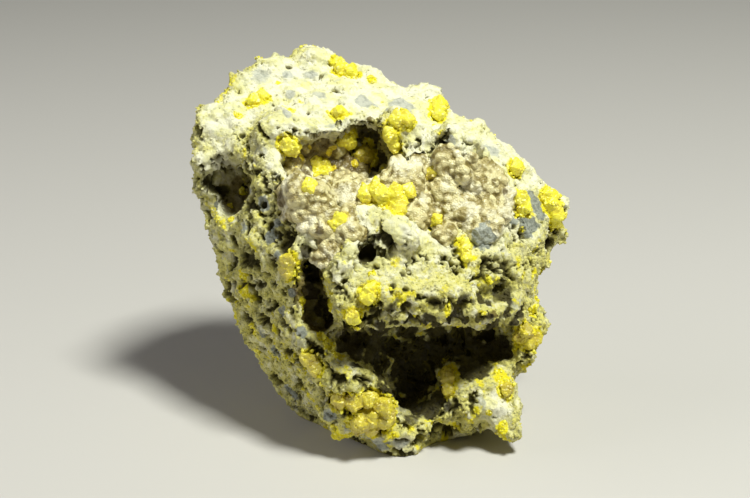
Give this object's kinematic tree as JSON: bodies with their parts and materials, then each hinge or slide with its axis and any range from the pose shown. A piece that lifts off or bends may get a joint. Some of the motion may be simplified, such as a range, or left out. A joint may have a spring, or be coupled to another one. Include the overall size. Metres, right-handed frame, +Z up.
{
  "type": "native sulfur mineral specimen",
  "caption": "Rough block of pale limestone with hollows lined by rounded calcite and set with yellow masses of native sulfur crystals",
  "frame": {"origin": "on the flat base that the block rests on, below the middle of the front view", "axes": "X to the right seen from the front, Y from the front to the back, Z up"},
  "size_m": [0.1869, 0.141, 0.1764],
  "materials": {
    "limestone": "rough porous cream and grey stone stained yellow",
    "calcite": "sparkling beige rounded crust",
    "sulfur": "resinous translucent yellow crystal"
  },
  "bodies": {
    "root": {"limestone_matrix": "limestone", "calcite_crust": "calcite", "sulfur_arch": "sulfur", "sulfur_bowl": "sulfur", "sulfur_brow": "sulfur", "sulfur_cave_rib": "sulfur", "sulfur_crown_brow": "sulfur", "sulfur_crown_left": "sulfur", "sulfur_crown_middle": "sulfur", "sulfur_crown_ridge": "sulfur", "sulfur_crown_right": "sulfur", "sulfur_foot": "sulfur", "sulfur_front_knot": "sulfur", "sulfur_hollow_back": "sulfur", "sulfur_hollow_crystal": "sulfur", "sulfur_hollow_floor": "sulfur", "sulfur_hollow_front": "sulfur", "sulfur_hollow_left": "sulfur", "sulfur_ledge": "sulfur", "sulfur_ledge_tip": "sulfur", "sulfur_left_lump": "sulfur", "sulfur_low_left": "sulfur", "sulfur_needle": "sulfur", "sulfur_pocket_lower": "sulfur", "sulfur_pocket_upper": "sulfur", "sulfur_right_edge": "sulfur", "sulfur_right_foot": "sulfur", "sulfur_shoulder": "sulfur", "sulfur_side_recess": "sulfur"}
  },
  "joints": []
}
